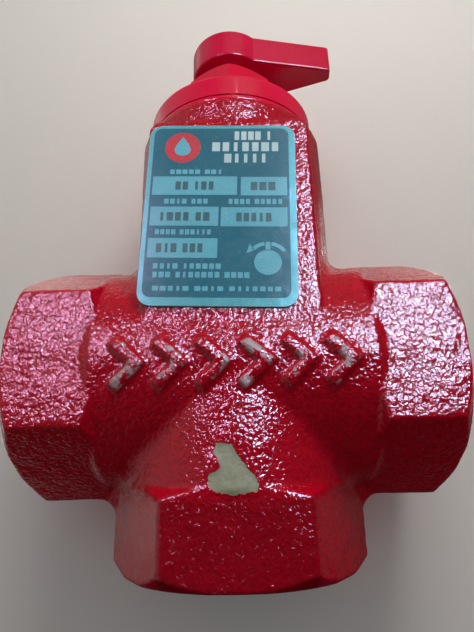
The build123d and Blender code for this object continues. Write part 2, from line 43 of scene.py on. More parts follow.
# ---- sizes shared with the solids ----------------------------------------------------------------
BARREL_R = 21.6
BRANCH_R = 21.2
RUN_HALF = 39.7
BOTTOM_FACE = 36.5
NECK_TOP = 53.6
PORT_R = 11.9
PORT_DEPTH = 15.0
PORT_MOUTH_R = 13.5
THREAD_PITCH = 1.814
THREAD_ROOT_R = 13.1
THREAD_SHELL_R = 13.45
PLATE_TILT = 2.2
PLATE_CENTRE = (-1.9, 26.8)
PLATE_FRONT = -21.27
TABLE_Y = 21.75

# ---- zones of the casting: a mask goes from 0 at the first number to 1 at the second --------------
OUTSIDE_STEM_R = (17.3, 18.2)
OUTSIDE_RUN_R = (14.4, 16.0)
CAST_PAST_RIM = (0.0, 0.7)
CAST_BELOW_NECK = (0.0, 1.0)
PAD_Y = (-20.3, -20.8)
PAD_Z = (7.5, 8.5)
PAD_HALF_WIDTH = (16.2, 15.2)
PLATE_HALF_WIDTH = (13.6, 12.6)
PLATE_TOP_Z = (46.5, 45.5)
MARK_RISE = (0.35, 0.62)
# Lower hub, where the enamel is thicker and where it is also painted darker as shade.
LOWER_HUB_Z = (-22.5, -24.5)
LOWER_HUB_HALF_WIDTH = (24.0, 23.0)
LOWER_HUB_FLAT = (13.0, 11.5)
BRANCH_Z = (-11.0, -16.0)
BRANCH_HALF_WIDTH = (24.0, 19.0)

# ---- where the raised marks are ------------------------------------------------------------------
MARK_FRONT_Y = -15
MARK_HALF_WIDTH = 23
MARK_Z = (-8.5, 4.5)

# Outline (x, z) of the patch on the lower branch where the enamel has chipped off.
CHIP = [
    (-3.1, -14.9), (-0.5, -15.0), (0.2, -16.5), (1.5, -18.2), (2.9, -19.8), (3.7, -21.3), (3.3, -22.4),
    (-0.2, -22.8), (-3.2, -22.4), (-4.4, -21.3), (-4.2, -19.7), (-2.2, -18.7), (-2.5, -17.8), (-3.5, -16.3),
]
CHIP_FRONT_Y = -10
CHIP_EDGE = (0.0, 0.35)
CHIP_DEPTH = 0.12
FAR_OUTSIDE = -9.0

# ---- colours, mostly as pairs that a noise goes between ------------------------------------------
ENAMEL = ((0.38, 0.0010, 0.0100), (0.46, 0.0020, 0.0170))
# Painted shade for the hollows of the cast grain.
ENAMEL_PAINTED_PIT_SHADE = (0.14, 0.0006, 0.003)
# Painted shade for the front of the lower hub.
ENAMEL_LOWER_HUB_PAINTED_SHADE = (0.16, 0.0004, 0.0050)
PRIMER = ((0.165, 0.180, 0.085), (0.31, 0.330, 0.175))
IRON = ((0.045, 0.038, 0.034), (0.13, 0.105, 0.085))
WORN = ((0.24, 0.13, 0.125), (0.36, 0.26, 0.25))
DUST = (0.70, 0.30, 0.34)
# Light scuffs and painted glare on the foil, and painted glints as fine specks.
SCUFF_AND_GLARE = (0.60, 0.66, 0.67)
SPECK_GLINT = (0.50, 0.72, 0.76)
STRAND = ((0.02, 0.02, 0.022), (0.10, 0.10, 0.11))
THREAD_BLOOM = ((0.075, 0.06, 0.05), (0.16, 0.14, 0.125))
THREAD_CREST = (0.34, 0.33, 0.32)
FLOOR_TONE = (0.61, 0.578, 0.545)
WORLD_LIGHT = (0.95, 0.97, 1.0)
WORLD_SEEN = (1.0, 0.96, 0.92)
WHITE = (1.0, 1.0, 1.0)
COOL = (0.64, 0.72, 1.0)
PINK = (1.0, 0.62, 1.0)
GLINT = (1.0, 0.88, 0.96)
WARM = (1.0, 0.98, 0.95)


# ---- mesh helpers --------------------------------------------------------------------------------
def add_object(name, data):
    """A new object in the scene for a mesh, a light or a camera."""
    obj = bpy.data.objects.new(name, data)
    bpy.context.scene.collection.objects.link(obj)
    return obj


def add_mesh(name, points, faces, material, body, smooth=True):
    """A piece from points in millimetres and faces, riding on a body."""
    mesh = bpy.data.meshes.new(name)
    mesh.from_pydata([tuple(MM * c for c in p) for p in points], [], [tuple(f) for f in faces])
    mesh.validate()
    mesh.update()
    mesh.polygons.foreach_set("use_smooth", [smooth] * len(mesh.polygons))
    obj = add_object(name, mesh)
    mesh.materials.append(material)
    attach(obj, body)
    return obj


def smoothstep(low, high, value):
    """0 at low, 1 at high and smooth between; low may be the larger one."""
    t = np.clip((value - low) / (high - low), 0, 1)
    return t * t * (3 - 2 * t)


# ---- material helpers ----------------------------------------------------------------------------
class Graph:
    """Shader nodes of one node tree, with short names for what is used most."""

    def __init__(self, tree):
        self.tree = tree

    def node(self, kind, **settings):
        made = self.tree.nodes.new(kind)
        for key, value in settings.items():
            setattr(made, key, value)
        return made

    def put(self, socket, value):
        if isinstance(value, bpy.types.NodeSocket):
            self.tree.links.new(value, socket)
        elif socket.type == "RGBA" and len(value) == 3:
            socket.default_value = (*value, 1)
        else:
            socket.default_value = value

    def calc(self, operation, a, b=0.0):
        made = self.node("ShaderNodeMath", operation=operation)
        self.put(made.inputs[0], a)
        self.put(made.inputs[1], b)
        return made.outputs[0]

    def parts(self, vector):
        """The X, Y and Z of a vector."""
        made = self.node("ShaderNodeSeparateXYZ")
        self.put(made.inputs[0], vector)
        return made.outputs

    def span(self, value, low, high, to_low=0.0, to_high=1.0):
        """Smooth step of a value from low to high."""
        made = self.node("ShaderNodeMapRange", interpolation_type="SMOOTHSTEP")
        for socket, number in zip(made.inputs, (value, low, high, to_low, to_high)):
            self.put(socket, number)
        return made.outputs["Result"]

    def blend(self, factor, a, b):
        """Colour a at factor 0 and b at factor 1."""
        made = self.node("ShaderNodeMix", data_type="RGBA")
        self.put(made.inputs[0], factor)
        self.put(made.inputs[6], a)
        self.put(made.inputs[7], b)
        return made.outputs[2]

    def level(self, factor, a, b):
        """Number a at factor 0 and b at factor 1."""
        made = self.node("ShaderNodeMix", data_type="FLOAT")
        self.put(made.inputs[0], factor)
        self.put(made.inputs[2], a)
        self.put(made.inputs[3], b)
        return made.outputs[0]


class Look(Graph):
    """A material in the piece's own coordinates, scaled to millimetres."""

    def __init__(self, name):
        self.material = bpy.data.materials.new(name)
        self.material.use_nodes = True
        super().__init__(self.material.node_tree)
        self.shader = self.tree.nodes["Principled BSDF"]
        scale = self.node("ShaderNodeVectorMath", operation="SCALE")
        self.put(scale.inputs[0], self.node("ShaderNodeTexCoord").outputs["Object"])
        self.put(scale.inputs["Scale"], 1 / MM)
        self.place = scale.outputs[0]

    def set(self, **values):
        for key, value in values.items():
            self.put(self.shader.inputs[key.replace("_", " ")], value)

    def noise(self, size, detail=2.0, rough=0.5, distortion=0.0, stretch=(1, 1, 1)):
        """Noise with features of about the given size in millimetres, longer where stretch is below 1."""
        mapping = self.node("ShaderNodeMapping")
        self.put(mapping.inputs["Vector"], self.place)
        self.put(mapping.inputs["Scale"], stretch)
        made = self.node("ShaderNodeTexNoise")
        self.put(made.inputs["Vector"], mapping.outputs[0])
        self.put(made.inputs["Scale"], 1 / size)
        self.put(made.inputs["Detail"], detail)
        self.put(made.inputs["Roughness"], rough)
        self.put(made.inputs["Distortion"], distortion)
        return made.outputs["Fac"]

    def field(self, name):
        """A value stored on the mesh's points."""
        return self.node("ShaderNodeAttribute", attribute_name=name).outputs["Fac"]

    def bump(self, height, depth, strength=1.0, under=None):
        """Relief of the given depth in millimetres where height goes from 0 to 1."""
        made = self.node("ShaderNodeBump")
        self.put(made.inputs["Height"], height)
        self.put(made.inputs["Distance"], depth * MM)
        self.put(made.inputs["Strength"], strength)
        if under is not None:
            self.put(made.inputs["Normal"], under)
        return made.outputs["Normal"]


def casting_look():
    """Thick red enamel over sand casting, with a chip, worn marks and raw iron inside, and painted shade in
    the grain's hollows and on the lower hub.
    """
    look = Look("casting_enamel")
    grain_depth, fine_depth, nib_depth = 0.235, 0.012, 0.06
    grain = look.noise(0.70, detail=1.5, distortion=0.4)
    fine = look.noise(0.30, rough=0.6, distortion=0.3)
    wide = look.noise(9.0, detail=3.0)
    ragged = look.calc("MULTIPLY", look.noise(0.9, detail=4.0, rough=0.6), 0.9)
    chip = look.span(look.calc("ADD", look.field("chip"), ragged), 0.42, 0.52)
    patches = look.span(look.noise(3.0, detail=4.0, rough=0.6), 0.49, 0.58)
    raised = look.calc("MULTIPLY", look.field("raised"), patches)
    seam = look.calc("MULTIPLY", look.noise(1.6, detail=3.0), 0.3)
    raw = look.span(look.calc("ADD", look.field("raw"), seam), 0.6, 0.75)
    enamel = look.blend(wide, *ENAMEL)
    # Painted shade: the enamel is painted darker in the hollows of the grain.
    enamel = look.blend(look.span(grain, 0.30, 0.62), look.blend(0.35, enamel, ENAMEL_PAINTED_PIT_SHADE), enamel)
    place = look.parts(look.place)
    half_width = look.calc("ABSOLUTE", place["X"])
    flat = look.span(half_width, *LOWER_HUB_FLAT)
    # Painted shade: the enamel on the lower hub's front flat is painted darker. The same field also marks
    # the thicker enamel there, which fills the grain and carries nibs.
    lower_hub_painted_shade = look.calc("MULTIPLY", look.calc("MULTIPLY", look.field("thick_enamel_and_shade"), flat), 0.6)
    enamel = look.blend(lower_hub_painted_shade, enamel, ENAMEL_LOWER_HUB_PAINTED_SHADE)
    primer = look.blend(look.noise(1.1, detail=4.0), *PRIMER)
    iron = look.blend(look.noise(2.2, detail=5.0, rough=0.65), *IRON)
    worn = look.blend(look.noise(0.8, detail=4.0), *WORN)
    colour = look.blend(raised, enamel, worn)
    colour = look.blend(chip, colour, primer)
    colour = look.blend(raw, colour, iron)
    rough = look.level(look.noise(3.0, detail=3.0), 0.05, 0.11)
    rough = look.level(raised, rough, 0.50)
    rough = look.level(chip, rough, 0.62)
    rough = look.level(raw, rough, 0.55)
    matt = look.calc("MAXIMUM", chip, raw)
    metal = look.level(raw, 0.0, 0.55)
    branch = look.span(place["Z"], *BRANCH_Z)
    branch = look.calc("MULTIPLY", branch, look.span(half_width, *BRANCH_HALF_WIDTH))
    filled = look.calc("MULTIPLY", look.level(look.field("thick_enamel_and_shade"), 1.0, 0.72), look.level(branch, 1.0, 0.7))
    relief = look.level(matt, look.calc("MULTIPLY", filled, look.level(wide, 0.75, 1.25)), 0.25)
    nibs = look.span(look.noise(0.55, detail=1.0), 0.68, 0.78)
    normal = look.bump(grain, grain_depth, relief)
    normal = look.bump(fine, fine_depth, relief, under=normal)
    normal = look.bump(nibs, nib_depth, look.field("thick_enamel_and_shade"), under=normal)
    normal = look.bump(chip, -CHIP_DEPTH, under=normal)
    look.set(Base_Color=colour, Roughness=rough, Metallic=metal, Normal=normal)
    look.set(Specular_IOR_Level=0.4)
    return look.material


def smooth_enamel(name, low, high, peel=0.02):
    """Glossy red enamel on a turned or finely cast piece, with orange peel, faint runs and dust."""
    look = Look(name)
    upright = (1.0, 1.0, 0.12)
    wide = look.noise(7.0, detail=3.0)
    dust = look.span(look.noise(0.45, detail=4.0, rough=0.7), 0.68, 0.76)
    colour = look.blend(wide, low, high)
    colour = look.blend(look.calc("MULTIPLY", dust, 0.25), colour, DUST)
    normal = look.bump(look.noise(2.3), peel)
    normal = look.bump(look.noise(1.2, stretch=upright), peel * 1.2, under=normal)
    normal = look.bump(look.noise(0.55), peel * 0.45, under=normal)
    look.set(Base_Color=colour, Normal=normal, Specular_IOR_Level=0.3)
    look.set(Roughness=look.level(look.noise(2.5, detail=4.0), 0.08, 0.16))
    return look.material


def foil_look(name, low, high, rough=0.19, scuff_and_glint_share=0.4, metal=0.0):
    """Printed metal foil: light clouding, scuffs that also stand for painted glare, fine specks that are
    painted glints, and a faint waviness.
    """
    look = Look(name)
    wave_depth, fine_depth = 0.05, 0.012
    cloud = look.noise(6.0, detail=4.0, rough=0.6)
    scuff_and_glare = look.span(look.noise(0.6, detail=5.0, rough=0.75), 0.60, 0.70)
    speck_glint = look.span(look.noise(0.28, detail=3.0, rough=0.6), 0.58, 0.70)
    colour = look.blend(cloud, low, high)
    # Painted highlights: the light scuffs stand for real scuffs and for glare, and the fine specks are
    # painted glints.
    colour = look.blend(look.calc("MULTIPLY", scuff_and_glare, scuff_and_glint_share), colour, SCUFF_AND_GLARE)
    colour = look.blend(look.calc("MULTIPLY", speck_glint, scuff_and_glint_share), colour, SPECK_GLINT)
    normal = look.bump(look.noise(5.0), wave_depth)
    normal = look.bump(look.noise(0.5, detail=3.0), fine_depth, under=normal)
    look.set(Base_Color=colour, Metallic=metal, Normal=normal, Specular_IOR_Level=0.25)
    look.set(Roughness=look.level(look.noise(1.5, detail=4.0), rough - 0.07, rough + 0.09))
    return look.material


def turned_metal(name, low, high, rough):
    """Turned metal with fine tool rings round the stem axis and a dull film."""
    look = Look(name)
    level_rings, ring_depth = (0.12, 0.12, 1.0), 0.012
    rings = look.noise(0.35, rough=0.6, stretch=level_rings)
    film = look.noise(3.0, detail=4.0, rough=0.6)
    colour = look.blend(film, low, high)
    look.set(Base_Color=colour, Metallic=1.0, Normal=look.bump(rings, ring_depth))
    look.set(Roughness=look.level(film, rough - 0.06, rough + 0.10))
    return look.material


def dull_look(name, low, high, rough):
    """Fibre or rubber: matt, with a fine grain."""
    look = Look(name)
    grain_depth = 0.03
    tone = look.noise(1.5, detail=4.0, rough=0.6)
    look.set(Base_Color=look.blend(tone, low, high))
    look.set(Roughness=look.level(tone, rough - 0.08, rough + 0.05))
    look.set(Normal=look.bump(look.noise(0.4, detail=3.0), grain_depth))
    return look.material


def braid_look():
    """Graphited braid: crossing strands round the stem axis."""
    look = Look("braid")
    strand_depth = 0.12
    wave = look.node("ShaderNodeTexWave", wave_type="BANDS", bands_direction="DIAGONAL")
    look.put(wave.inputs["Vector"], look.place)
    look.put(wave.inputs["Scale"], 0.55)
    look.put(wave.inputs["Distortion"], 2.0)
    strand = wave.outputs["Fac"]
    look.set(Base_Color=look.blend(strand, *STRAND), Roughness=0.6)
    look.set(Normal=look.bump(strand, strand_depth))
    return look.material


def thread_look():
    """Cut iron thread: dark with a thin brown bloom, brighter on the crests."""
    look = Look("cut_thread")
    grain_depth = 0.02
    bloom = look.noise(1.2, detail=5.0, rough=0.65)
    base = look.blend(bloom, *THREAD_BLOOM)
    title_painted_sheen = look.calc("MULTIPLY", look.field("crest"), 0.6)
    look.set(Base_Color=look.blend(title_painted_sheen, base, THREAD_CREST), Metallic=0.75)
    look.set(Roughness=look.level(bloom, 0.34, 0.55))
    look.set(Normal=look.bump(look.noise(0.4, detail=3.0), grain_depth))
    return look.material


# ---- body ----------------------------------------------------------------------------------------
def read_array(items, name, width, kind=np.float32):
    """One property of all the items of a mesh, as rows of the given width."""
    flat = np.empty(len(items) * width, kind)
    items.foreach_get(name, flat)
    return flat.reshape(-1, width)


def write_points(mesh, p):
    """Puts points given in millimetres into the mesh."""
    mesh.vertices.foreach_set("co", (p * MM).astype(np.float32).ravel())
    mesh.update()


def remeshed_copy(source, voxel):
    """An even, closed mesh of the same solid."""
    obj = add_object("body_work", source.data.copy())
    weld = obj.modifiers.new("weld", "WELD")
    weld.merge_threshold = 1e-6
    remesh = obj.modifiers.new("remesh", "REMESH")
    remesh.mode = "VOXEL"
    remesh.voxel_size = voxel * MM
    bpy.context.view_layer.update()
    graph = bpy.context.evaluated_depsgraph_get()
    mesh = bpy.data.meshes.new_from_object(obj.evaluated_get(graph), depsgraph=graph)
    bpy.data.objects.remove(obj)
    return mesh


def relax(points, edges, rounds):
    """Taubin smoothing: takes out voxel steps without shrinking the form."""
    inward, outward = 0.55, -0.57
    count = np.bincount(edges.ravel(), minlength=len(points)).astype(float)[:, None]
    a, b = edges[:, 0], edges[:, 1]
    for _ in range(rounds):
        for pull in (inward, outward):
            total = np.zeros_like(points)
            for axis in range(3):
                total[:, axis] = np.bincount(a, points[b, axis], len(points))
                total[:, axis] += np.bincount(b, points[a, axis], len(points))
            points = points + pull * (total / count - points)
    return points


def outline_distance(x, z, outline):
    """Distance to a closed outline, positive inside."""
    best = np.full(len(x), 1e9)
    inside = np.zeros(len(x), bool)
    for (x0, z0), (x1, z1) in zip(outline, outline[1:] + outline[:1]):
        dx, dz = x1 - x0, z1 - z0
        t = np.clip(((x - x0) * dx + (z - z0) * dz) / (dx * dx + dz * dz), 0, 1)
        best = np.minimum(best, np.hypot(x - x0 - t * dx, z - z0 - t * dz))
        crosses = ((z0 > z) != (z1 > z)) & (x < dx * (z - z0) / (z1 - z0 + 1e-12) + x0)
        inside ^= crosses
    return np.where(inside, best, -best)


def open_ports(p):
    """Pushes the walls of the three tappings out to the shell that the thread pieces fill."""
    above_end, inside_wall = 0.1, 0.6
    for axis, side, face in ((0, 1, RUN_HALF), (0, -1, RUN_HALF), (2, -1, BOTTOM_FACE)):
        other = [i for i in range(3) if i != axis]
        depth = face - side * p[:, axis]
        reach = np.hypot(p[:, other[0]], p[:, other[1]])
        wall = (reach < THREAD_SHELL_R) & (reach > PORT_R - inside_wall)
        wall &= depth < PORT_DEPTH - above_end
        grow = np.where(wall, THREAD_SHELL_R / np.maximum(reach, 1), 1.0)
        for i in other:
            p[:, i] *= grow
    return p


def cast_relief(p, normals, amount):
    """Moves the cast skin in and out the way sand leaves it, in wide swells and smaller lumps."""
    swell_height, swells_per_mm = 0.10, 0.22
    lump_height, lumps_per_mm, elsewhere = 0.06, 0.55, Vector((7.1, 3.3, 5.2))
    offset = np.zeros(len(p))
    for i in np.nonzero(amount > 0.01)[0]:
        q = Vector(p[i])
        swell = noise.noise(q * swells_per_mm)
        lump = noise.noise(q * lumps_per_mm + elsewhere)
        offset[i] = amount[i] * (swell_height * swell + lump_height * lump)
    return p + normals * offset[:, None]


def body_zones(x, y, z):
    """Masks of the casting's points, each 0 to 1, apart from chip, which is a distance."""
    from_run = np.hypot(y, z)
    from_stem = np.hypot(x, y)
    skin = smoothstep(*OUTSIDE_STEM_R, from_stem) * smoothstep(*OUTSIDE_RUN_R, from_run)
    as_cast = smoothstep(*CAST_PAST_RIM, RUN_HALF - np.abs(x)) * smoothstep(*CAST_PAST_RIM, z + BOTTOM_FACE)
    as_cast = as_cast * smoothstep(*CAST_BELOW_NECK, NECK_TOP - z)
    pad = smoothstep(*PAD_Y, y) * smoothstep(*PAD_Z, z) * smoothstep(*PAD_HALF_WIDTH, np.abs(x))
    beside = np.abs(x - PLATE_CENTRE[0])
    under_plate = pad * smoothstep(*PLATE_HALF_WIDTH, beside) * smoothstep(*PLATE_TOP_Z, z)
    chip = np.where(y < CHIP_FRONT_Y, outline_distance(x, z, CHIP), FAR_OUTSIDE)
    rise = np.minimum(from_run - BARREL_R, from_stem - BRANCH_R)
    in_band = (y < MARK_FRONT_Y) * (np.abs(x) < MARK_HALF_WIDTH) * (z > MARK_Z[0]) * (z < MARK_Z[1])
    marks = smoothstep(*MARK_RISE, rise) * in_band
    # Lower hub: thicker enamel, and the place of the painted shade.
    thick_enamel_and_shade = smoothstep(*LOWER_HUB_Z, z) * smoothstep(*LOWER_HUB_HALF_WIDTH, np.abs(x))
    return skin, as_cast, under_plate, chip, marks, thick_enamel_and_shade


def body_piece(material):
    """The casting's surface, with cast relief and the chip, and its zones as values for the material."""
    voxel = 0.42
    mesh = remeshed_copy(NODES["body_casting"], voxel)
    p = read_array(mesh.vertices, "co", 3).astype(float) / MM
    p = relax(p, read_array(mesh.edges, "vertices", 2, np.int32), rounds=3)
    p = open_ports(p)
    skin, as_cast, under_plate, chip, marks, thick_enamel_and_shade = body_zones(*p.T)
    write_points(mesh, p)
    normals = read_array(mesh.vertex_normals, "vector", 3).astype(float)
    less_in_chip, less_on_marks = 0.6, 0.4
    in_chip = smoothstep(*CHIP_EDGE, chip)
    amount = skin * as_cast * (1 - under_plate)
    amount = amount * (1 - less_in_chip * in_chip) * (1 - less_on_marks * marks)
    p = cast_relief(p, normals, amount)
    p = p - normals * (CHIP_DEPTH * in_chip)[:, None]
    write_points(mesh, p)
    for name, values in (("chip", chip), ("raised", marks), ("raw", 1 - skin), ("thick_enamel_and_shade", thick_enamel_and_shade)):
        layer = mesh.attributes.new(name, "FLOAT", "POINT")
        layer.data.foreach_set("value", values.astype(np.float32))
    mesh.polygons.foreach_set("use_smooth", [True] * len(mesh.polygons))
    mesh.update()
    mesh.materials.clear()
    mesh.materials.append(material)
    obj = add_object("body_skin", mesh)
    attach(obj, "valve_body")
    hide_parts("body_casting")


def port_thread(name, to_frame, material):
    """A closed ring with a V thread cut inside, made along +Z with its mouth at z = 0."""
    around, per_turn = 160, 12
    top, low = -0.12, -PORT_DEPTH + 0.1
    run_out = 2.5
    shell = THREAD_SHELL_R + 0.06
    flank, crest_flat = 1.12, 0.06
    mouth = PORT_MOUTH_R - 0.05
    rows = int((top - low) / THREAD_PITCH * per_turn)
    points, faces, crests = [], [], []
    for i in range(around):
        angle = 2 * math.pi * i / around
        for j in range(rows + 1):
            height = top + (low - top) * j / rows
            phase = (height / THREAD_PITCH - i / around) % 1.0
            groove = min(max(flank * abs(2 * phase - 1) - crest_flat, 0.0), 1.0)
            fade = min(1.0, (height - low) / run_out)
            radius = PORT_R + (THREAD_ROOT_R - PORT_R) * groove * fade
            radius = max(radius, mouth + height)
            crests.append(1 - groove)
            points.append((radius * math.cos(angle), radius * math.sin(angle), height))
        for height in (low, top):
            points.append((shell * math.cos(angle), shell * math.sin(angle), height))
            crests.append(0)
    loop = rows + 3
    for i in range(around):
        for j in range(loop):
            a, b = i * loop + j, i * loop + (j + 1) % loop
            c, d = ((i + 1) % around) * loop + (j + 1) % loop, ((i + 1) % around) * loop + j
            faces.append((a, b, c, d))
    points = [tuple(to_frame @ Vector(q)) for q in points]
    obj = add_mesh(name, points, faces, material, "valve_body")
    layer = obj.data.attributes.new("crest", "FLOAT", "POINT")
    layer.data.foreach_set("value", np.array(crests, np.float32))


def port_threads():
    """The thread rings of the two run ports and the bottom port."""
    material = thread_look()
    quarter = math.radians(90)
    right = Matrix.Translation((RUN_HALF, 0, 0)) @ Matrix.Rotation(quarter, 4, "Y")
    left = Matrix.Translation((-RUN_HALF, 0, 0)) @ Matrix.Rotation(-quarter, 4, "Y")
    bottom = Matrix.Translation((0, 0, -BOTTOM_FACE)) @ Matrix.Rotation(2 * quarter, 4, "X")
    port_thread("outlet_thread", right, material)
    port_thread("side_inlet_thread", left, material)
    port_thread("bottom_inlet_thread", bottom, material)


# ---- nameplate print -----------------------------------------------------------------------------
def on_plate(u, v, proud):
    """A point of the plate's face: u to the right and v up from its centre, proud of the foil."""
    tilt = math.radians(PLATE_TILT)
    x = PLATE_CENTRE[0] + u * math.cos(tilt) + v * math.sin(tilt)
    z = PLATE_CENTRE[1] - u * math.sin(tilt) + v * math.cos(tilt)
    return x, PLATE_FRONT - proud, z


def printed(name, outlines, level, material):
    """Flat printed shapes, each a thin closed prism, at a print level above the foil."""
    ink, sunk = 0.012, 0.03
    points, faces = [], []
    base, top = ink * level - sunk, ink * level + ink
    for outline in outlines:
        n, start = len(outline), len(points)
        points += [on_plate(u, v, top) for u, v in outline]
        points += [on_plate(u, v, base) for u, v in outline]
        faces.append([start + i for i in range(n)])
        faces.append([start + n + i for i in reversed(range(n))])
        for i in range(n):
            j = (i + 1) % n
            faces.append([start + j, start + i, start + n + i, start + n + j])
    return add_mesh(name, points, faces, material, "valve_body", smooth=False)


def rounded_box(u0, v0, u1, v1, radius, steps=5):
    """Outline of a box with rounded corners, anticlockwise from its right side."""
    outline = []
    corners = ((u1 - radius, v1 - radius, 0), (u0 + radius, v1 - radius, 90))
    corners += ((u0 + radius, v0 + radius, 180), (u1 - radius, v0 + radius, 270))
    for cu, cv, first in corners:
        for k in range(steps + 1):
            a = math.radians(first + 90 * k / steps)
            outline.append((cu + radius * math.cos(a), cv + radius * math.sin(a)))
    return outline


def arc_band(cu, cv, inner, outer, first, last, steps=14):
    """Outline of a band round a centre, between two radii and two angles."""
    turn = [math.radians(first + (last - first) * k / steps) for k in range(steps + 1)]
    band = [(cu + outer * math.cos(a), cv + outer * math.sin(a)) for a in turn]
    return band + [(cu + inner * math.cos(a), cv + inner * math.sin(a)) for a in reversed(turn)]


def disc(cu, cv, radius, steps=40):
    """Outline of a full circle."""
    return arc_band(cu, cv, 0.0, radius, 0, 360 - 360 / steps, steps - 1)[:steps]


def word_row(u0, u1, top, bottom, letters, seed):
    """Plain blocks of mixed widths that stand in for a line of words with the given letter counts."""
    word_gap, letter_share = 0.55, 0.82
    step = (u1 - u0) / (sum(letters) + word_gap * (len(letters) - 1))
    widths = np.random.default_rng(seed)
    blocks = []
    u = u0
    for word in letters:
        for _ in range(word):
            width = step * widths.choice((0.38, 0.66, 0.74, 0.80))
            left = u + (step * letter_share - width) / 2
            corner = min(0.10, width * 0.2)
            blocks.append(rounded_box(left, bottom, left + width, top, corner, steps=2))
            u += step
        u += word_gap * step
    return blocks


def word_rows(lines, first_seed):
    """Blocks for lines given as (u0, u1, top, bottom, letter counts)."""
    blocks = []
    for index, line in enumerate(lines):
        blocks += word_row(*line, first_seed + index)
    return blocks


def droplet(cu, cv, size):
    """Round at the bottom and pointed at the top."""
    steps, half = 28, 0.62 * size
    outline = []
    for k in range(steps):
        t = 2 * math.pi * k / steps
        width = math.sin(t) * math.sin(t / 2) ** 1.5
        outline.append((cu + half * width, cv + half * math.cos(t)))
    return list(reversed(outline))


def nameplate_print():
    """Panel, boxes, rows of blocks, emblem and turning arrow, in the plate's own u and v."""
    panel = foil_look("plate_panel", (0.012, 0.125, 0.185), (0.024, 0.165, 0.240), scuff_and_glint_share=0.14)
    silver = foil_look("plate_silver", (0.09, 0.37, 0.48), (0.15, 0.48, 0.61))
    dark = foil_look("plate_dark", (0.020, 0.100, 0.125), (0.040, 0.150, 0.175), rough=0.24, scuff_and_glint_share=0.15)
    red = foil_look("plate_red", (0.50, 0.030, 0.045), (0.62, 0.055, 0.075), rough=0.20, scuff_and_glint_share=0.2)
    printed("plate_panel", [rounded_box(-13.3, -17.3, 12.9, 18.2, 1.5)], 1, panel)
    boxes = [(-12.9, 3.2, 3.1, 7.2), (3.8, 3.1, 12.5, 7.1), (-12.9, -3.3, -0.25, 0.65)]
    boxes += [(0.2, -3.4, 12.45, 0.55), (-12.9, -9.75, -0.25, -5.85)]
    printed("plate_boxes", [rounded_box(u0, v0, u1, v1, 0.15, 2) for u0, v0, u1, v1 in boxes], 2, silver)
    titles = ((2.3, 9.9, 17.5, 15.5, (4, 1)), (-1.9, 11.4, 14.95, 12.9, (7,)), (0.5, 9.1, 12.3, 10.3, (5,)))
    captions = ((-9.8, 0.5, 8.75, 7.75, (5, 3)), (-10.5, -2.1, 2.35, 1.3, (4, 3)))
    captions += ((1.5, 11.8, 2.35, 1.25, (4, 5)), (-11.8, -1.3, -4.05, -5.1, (4, 6)))
    captions += ((-11.7, 0.7, -10.85, -11.9, (4, 6)),)
    captions += ((-11.7, 5.8, -12.5, -13.6, (3, 7, 4)), (-11.5, 11.4, -15.2, -16.1, (5, 4, 7)))
    values = ((-8.6, -1.0, 6.1, 4.3, (2, 3)), (5.6, 10.6, 6.0, 4.2, (3,)), (-11.3, -1.6, -0.5, -2.3, (4, 2)))
    values += ((3.0, 9.8, -0.6, -2.4, (5,)), (-11.4, -2.6, -6.9, -8.7, (3, 3)))
    # Painted reflection: the title blocks are printed in a lighter silver than the other words, for a light
    # mirrored in the top of the plate.
    title_painted_sheen = foil_look("plate_title_painted_sheen", (0.30, 0.50, 0.54), (0.55, 0.72, 0.74), scuff_and_glint_share=0.35)
    printed("plate_title_painted_sheen", word_rows(titles, first_seed=1), 2, title_painted_sheen)
    printed("plate_words", word_rows(captions, first_seed=4), 2, silver)
    printed("plate_values", word_rows(values, first_seed=40), 3, dark)
    printed("plate_emblem", [disc(-7.6, 13.75, 3.45)], 2, red)
    printed("plate_drop", [droplet(-7.6, 14.1, 3.6)], 3, silver)
    centre, arrow_radii = (8.85, -10.55), (3.35, 4.05)
    pointer = rounded_box(8.42, -8.3, 9.3, -6.55, 0.1, 2)
    arrow_head = [(5.0, -8.75), (6.55, -8.2), (5.55, -6.95)]
    knob = [disc(*centre, 2.45), pointer]
    knob.append(arc_band(*centre, *arrow_radii, 100, 137))
    knob.append(arc_band(*centre, *arrow_radii, 36, 80))
    knob.append(arrow_head)
    printed("plate_knob", knob, 2, silver)


# ---- carried-over solids -------------------------------------------------------------------------
def paint(material, *names):
    """Gives the named CAD solids a material."""
    for name in names:
        slots = NODES[name].data.materials
        slots.clear()
        slots.append(material)


